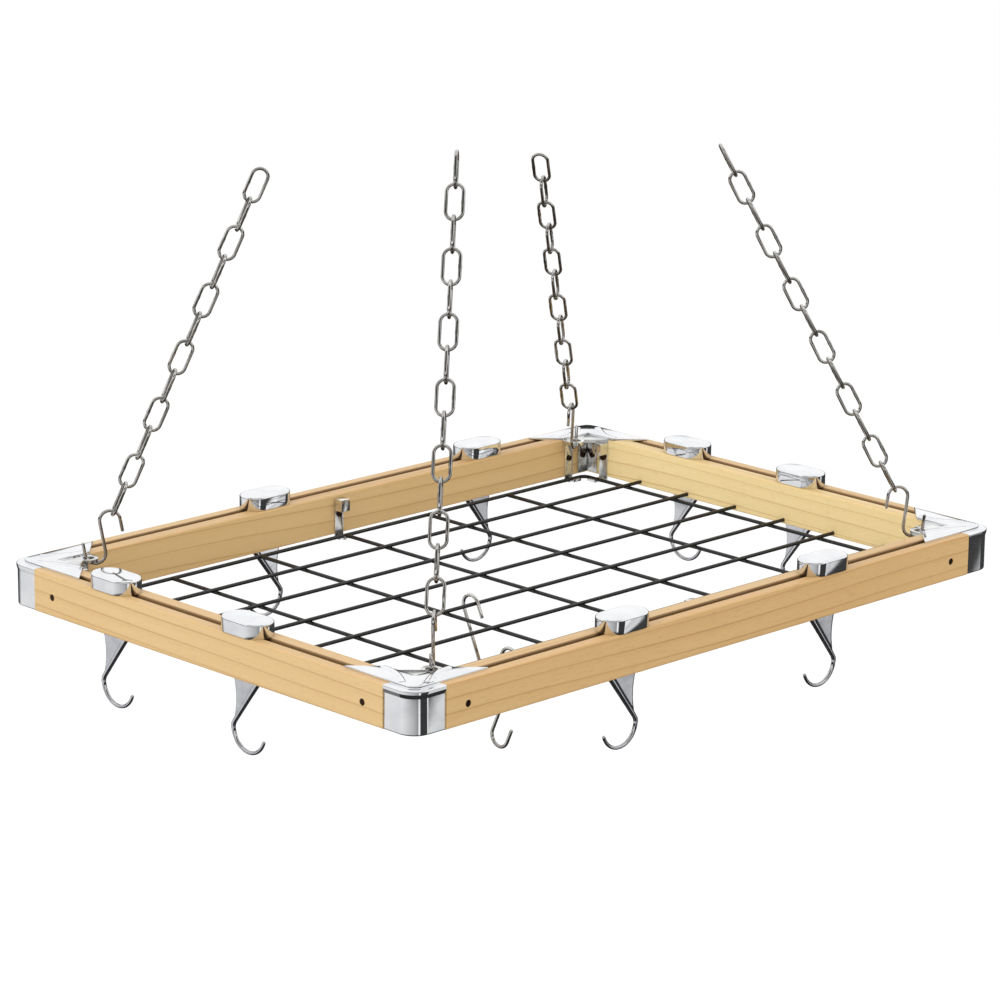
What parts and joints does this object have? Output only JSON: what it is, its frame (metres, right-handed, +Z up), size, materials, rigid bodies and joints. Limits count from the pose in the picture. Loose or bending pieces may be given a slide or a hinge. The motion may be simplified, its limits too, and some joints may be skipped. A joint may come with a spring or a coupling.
{
  "type": "hanging pot rack",
  "caption": "Hanging rectangular pot rack: twin-board wooden frame with metal corners, wire grid shelf, sliding pot hooks and a chain from each corner.",
  "frame": {"origin": "on the vertical centre line of the frame, level with the lowest point of the loose hooks", "axes": "+X along the long rails to the right, +Y across the frame to the back, +Z up"},
  "size_m": [0.842, 0.602, 0.5897],
  "materials": {
    "wood": "clear satin lacquer over pale hardwood",
    "corner": "polished chrome plate",
    "bracket": "polished chrome plate",
    "cap": "polished chrome plate",
    "hook": "polished chrome plate",
    "clip": "chrome plate",
    "loose_wire": "bright nickel plate",
    "chain": "nickel plate",
    "black_wire": "satin black powder coat",
    "screws": "dark oxide"
  },
  "bodies": {
    "frame": {"outer_board_front": "wood", "outer_board_back": "wood", "outer_board_left": "wood", "outer_board_right": "wood", "inner_board_front": "wood", "inner_board_back": "wood", "inner_board_left": "wood", "inner_board_right": "wood", "corner_front_left": "corner", "corner_front_right": "corner", "corner_back_left": "corner", "corner_back_right": "corner", "bracket_front_left": "bracket", "bracket_front_right": "bracket", "bracket_back_left": "bracket", "bracket_back_right": "bracket", "frame_screws": "screws", "bracket_screws": "screws", "clip_screws": "screws", "grid_long_wires": "black_wire", "grid_cross_wires": "black_wire", "grid_rim_wire": "black_wire", "clips_long_rails": "clip", "clips_short_rails": "clip"},
    "rail_hook_front_left": {"cap_front_left": "cap", "hook_front_left": "hook"},
    "rail_hook_front_right": {"cap_front_right": "cap", "hook_front_right": "hook"},
    "rail_hook_back_left": {"cap_back_left": "cap", "hook_back_left": "hook"},
    "rail_hook_back_right": {"cap_back_right": "cap", "hook_back_right": "hook"},
    "rail_hook_left_front": {"cap_left_front": "cap", "hook_left_front": "hook"},
    "rail_hook_left_back": {"cap_left_back": "cap", "hook_left_back": "hook"},
    "rail_hook_right_front": {"cap_right_front": "cap", "hook_right_front": "hook"},
    "rail_hook_right_back": {"cap_right_back": "cap", "hook_right_back": "hook"},
    "loose_inner": {"loose_hook_inner": "loose_wire"},
    "loose_outer": {"loose_hook_outer": "loose_wire"},
    "eye_front_left": {"eye_hook_front_left": "chain"},
    "chain_front_left": {"chain_lower_front_left": "chain"},
    "chain_end_front_left": {"chain_upper_front_left": "chain", "top_link_front_left": "chain"},
    "eye_front_right": {"eye_hook_front_right": "chain"},
    "chain_front_right": {"chain_lower_front_right": "chain"},
    "chain_end_front_right": {"chain_upper_front_right": "chain", "top_link_front_right": "chain"},
    "eye_back_left": {"eye_hook_back_left": "chain"},
    "chain_back_left": {"chain_lower_back_left": "chain"},
    "chain_end_back_left": {"chain_upper_back_left": "chain", "top_link_back_left": "chain"},
    "eye_back_right": {"eye_hook_back_right": "chain"},
    "chain_back_right": {"chain_lower_back_right": "chain"},
    "chain_end_back_right": {"chain_upper_back_right": "chain", "top_link_back_right": "chain"}
  },
  "joints": [
    {"name": "slide_front_left", "type": "slide", "parent": "frame", "child": "rail_hook_front_left", "axis": [1, 0, 0], "range_m": [-0.147, 0.108]},
    {"name": "slide_front_right", "type": "slide", "parent": "frame", "child": "rail_hook_front_right", "axis": [1, 0, 0], "range_m": [-0.111, 0.11]},
    {"name": "slide_back_left", "type": "slide", "parent": "frame", "child": "rail_hook_back_left", "axis": [1, 0, 0], "range_m": [-0.187, 0.068]},
    {"name": "slide_back_right", "type": "slide", "parent": "frame", "child": "rail_hook_back_right", "axis": [1, 0, 0], "range_m": [-0.173, 0.048]},
    {"name": "slide_left_front", "type": "slide", "parent": "frame", "child": "rail_hook_left_front", "axis": [0, 1, 0], "range_m": [-0.11, 0.056]},
    {"name": "slide_left_back", "type": "slide", "parent": "frame", "child": "rail_hook_left_back", "axis": [0, 1, 0], "range_m": [-0.07, 0.012]},
    {"name": "slide_right_front", "type": "slide", "parent": "frame", "child": "rail_hook_right_front", "axis": [0, 1, 0], "range_m": [-0.118, 0.048]},
    {"name": "slide_right_back", "type": "slide", "parent": "frame", "child": "rail_hook_right_back", "axis": [0, 1, 0], "range_m": [-0.049, 0.033]},
    {"name": "swing_loose_inner", "type": "hinge", "parent": "frame", "child": "loose_inner", "pos_m": [-0.085, -0.036, 0.09815], "axis": [1, 0, 0], "range_deg": [-25, 25]},
    {"name": "swing_loose_outer", "type": "hinge", "parent": "frame", "child": "loose_outer", "pos_m": [-0.184, -0.18, 0.09815], "axis": [1, 0, 0], "range_deg": [-25, 25]},
    {"name": "swing_eye_front_left", "type": "hinge", "parent": "frame", "child": "eye_front_left", "pos_m": [-0.348, -0.24878, 0.1418], "axis": [0.6517, -0.7585, 0], "range_deg": [0, 30]},
    {"name": "swing_chain_front_left", "type": "hinge", "parent": "eye_front_left", "child": "chain_front_left", "pos_m": [-0.33574, -0.23824, 0.17557], "axis": [0.6517, -0.7585, 0], "range_deg": [0, 75]},
    {"name": "fold_chain_front_left", "type": "hinge", "parent": "chain_front_left", "child": "chain_end_front_left", "pos_m": [-0.27243, -0.18385, 0.34987], "axis": [0.6517, -0.7585, 0], "range_deg": [0, 80]},
    {"name": "swing_eye_front_right", "type": "hinge", "parent": "frame", "child": "eye_front_right", "pos_m": [0.34766, -0.2492, 0.1418], "axis": [0.5934, 0.8049, 0], "range_deg": [0, 30]},
    {"name": "swing_chain_front_right", "type": "hinge", "parent": "eye_front_right", "child": "chain_front_right", "pos_m": [0.33362, -0.23885, 0.17493], "axis": [0.5934, 0.8049, 0], "range_deg": [0, 75]},
    {"name": "fold_chain_front_right", "type": "hinge", "parent": "chain_front_right", "child": "chain_end_front_right", "pos_m": [0.26114, -0.18541, 0.34592], "axis": [0.5934, 0.8049, 0], "range_deg": [0, 80]},
    {"name": "swing_eye_back_left", "type": "hinge", "parent": "frame", "child": "eye_back_left", "pos_m": [-0.34754, 0.24937, 0.1418], "axis": [-0.57, -0.8216, 0], "range_deg": [0, 30]},
    {"name": "swing_chain_back_left", "type": "hinge", "parent": "eye_back_left", "child": "chain_back_left", "pos_m": [-0.33512, 0.24075, 0.17605], "axis": [-0.57, -0.8216, 0], "range_deg": [0, 75]},
    {"name": "fold_chain_back_left", "type": "hinge", "parent": "chain_back_left", "child": "chain_end_back_left", "pos_m": [-0.271, 0.19627, 0.35285], "axis": [-0.57, -0.8216, 0], "range_deg": [0, 80]},
    {"name": "swing_eye_back_right", "type": "hinge", "parent": "frame", "child": "eye_back_right", "pos_m": [0.34727, 0.24979, 0.1418], "axis": [-0.5115, 0.8593, 0], "range_deg": [0, 30]},
    {"name": "swing_chain_back_right", "type": "hinge", "parent": "eye_back_right", "child": "chain_back_right", "pos_m": [0.33305, 0.24133, 0.17539], "axis": [-0.5115, 0.8593, 0], "range_deg": [0, 75]},
    {"name": "fold_chain_back_right", "type": "hinge", "parent": "chain_back_right", "child": "chain_end_back_right", "pos_m": [0.25965, 0.19763, 0.34873], "axis": [-0.5115, 0.8593, 0], "range_deg": [0, 80]}
  ]
}
